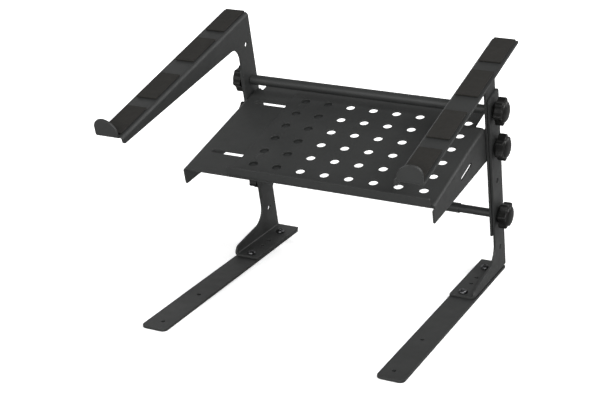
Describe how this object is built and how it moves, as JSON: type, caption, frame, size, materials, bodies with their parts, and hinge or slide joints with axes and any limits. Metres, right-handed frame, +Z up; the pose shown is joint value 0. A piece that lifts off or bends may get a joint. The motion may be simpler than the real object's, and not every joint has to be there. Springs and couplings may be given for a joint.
{
  "type": "audio interface stand",
  "caption": "Desktop stand: flat feet and leaning legs carry padded arms for a laptop above a perforated tray that tilts and widens, clamped with star knobs.",
  "frame": {"origin": "on the floor, at the middle of the stand's width and depth", "axes": "+Z up, -Y towards the user (the front of the tray and arms), +X to the user's right"},
  "size_m": [0.351, 0.3573, 0.2948],
  "materials": {
    "powder_coat": "fine matt charcoal powder coat",
    "pad_rubber": "matt, slightly brown black",
    "knob_plastic": "glossy moulded black",
    "black_zinc": "black zinc plating"
  },
  "bodies": {
    "right_side": {"right_foot_bar": "powder_coat", "right_leg": "powder_coat", "right_foot_screw_back": "black_zinc", "right_foot_screw_front": "black_zinc", "right_arm": "powder_coat", "right_arm_pad_1": "pad_rubber", "right_arm_pad_2": "pad_rubber", "right_arm_pad_3": "pad_rubber", "right_arm_pad_4": "pad_rubber", "upper_crossbar_rod": "powder_coat", "lower_crossbar_rod": "powder_coat"},
    "left_side": {"left_foot_bar": "powder_coat", "left_leg": "powder_coat", "left_foot_screw_back": "black_zinc", "left_foot_screw_front": "black_zinc", "left_arm": "powder_coat", "left_arm_pad_1": "pad_rubber", "left_arm_pad_2": "pad_rubber", "left_arm_pad_3": "pad_rubber", "left_arm_pad_4": "pad_rubber", "upper_crossbar_sleeve": "powder_coat", "lower_crossbar_sleeve": "powder_coat", "upper_crossbar_plug": "black_zinc", "lower_crossbar_plug": "black_zinc"},
    "tray_right": {"tray_deck": "powder_coat", "right_ear_nut": "black_zinc", "tray_clamp_stud_back": "black_zinc", "tray_clamp_stud_front": "black_zinc", "tray_clamp_washer_back": "black_zinc", "tray_clamp_washer_front": "black_zinc", "tray_clamp_nut_back": "black_zinc", "tray_clamp_nut_front": "black_zinc"},
    "tray_left": {"tray_slider": "powder_coat", "left_ear_nut": "black_zinc"},
    "right_upper_knob": {"right_upper_knob": "knob_plastic", "right_upper_stud": "black_zinc"},
    "right_tray_knob": {"right_tray_knob": "knob_plastic", "right_tray_stud": "black_zinc"},
    "right_lower_knob": {"right_lower_knob": "knob_plastic", "right_lower_stud": "black_zinc"},
    "left_upper_knob": {"left_upper_knob": "knob_plastic", "left_upper_stud": "black_zinc"},
    "left_tray_knob": {"left_tray_knob": "knob_plastic", "left_tray_stud": "black_zinc"},
    "left_lower_knob": {"left_lower_knob": "knob_plastic", "left_lower_stud": "black_zinc"}
  },
  "joints": [
    {"name": "width", "type": "slide", "parent": "right_side", "child": "left_side", "axis": [-1, 0, 0], "range_m": [-0.015, 0.015]},
    {"name": "tray_tilt", "type": "hinge", "parent": "right_side", "child": "tray_right", "pos_m": [0, 0.117, 0.16799], "axis": [-1, 0, 0], "range_deg": [-30, 30]},
    {"name": "tray_width", "type": "slide", "parent": "tray_right", "child": "tray_left", "axis": [-1, 0, 0], "range_m": [-0.015, 0.015]},
    {"name": "right_upper_knob_turn", "type": "hinge", "parent": "right_side", "child": "right_upper_knob", "pos_m": [0.1505, 0.10519, 0.21204], "axis": [1, 0, 0], "range_deg": [0, 720]},
    {"name": "right_tray_knob_turn", "type": "hinge", "parent": "right_side", "child": "right_tray_knob", "pos_m": [0.1505, 0.117, 0.16799], "axis": [1, 0, 0], "range_deg": [0, 720]},
    {"name": "right_lower_knob_turn", "type": "hinge", "parent": "right_side", "child": "right_lower_knob", "pos_m": [0.1505, 0.1406, 0.0799], "axis": [1, 0, 0], "range_deg": [0, 720]},
    {"name": "left_upper_knob_turn", "type": "hinge", "parent": "left_side", "child": "left_upper_knob", "pos_m": [-0.1505, 0.10519, 0.21204], "axis": [-1, 0, 0], "range_deg": [0, 720]},
    {"name": "left_tray_knob_turn", "type": "hinge", "parent": "left_side", "child": "left_tray_knob", "pos_m": [-0.1505, 0.117, 0.16799], "axis": [-1, 0, 0], "range_deg": [0, 720]},
    {"name": "left_lower_knob_turn", "type": "hinge", "parent": "left_side", "child": "left_lower_knob", "pos_m": [-0.1505, 0.1406, 0.0799], "axis": [-1, 0, 0], "range_deg": [0, 720]}
  ],
  "couplings": [
    {"joint": "tray_width", "follows": "width", "ratio": 1}
  ]
}
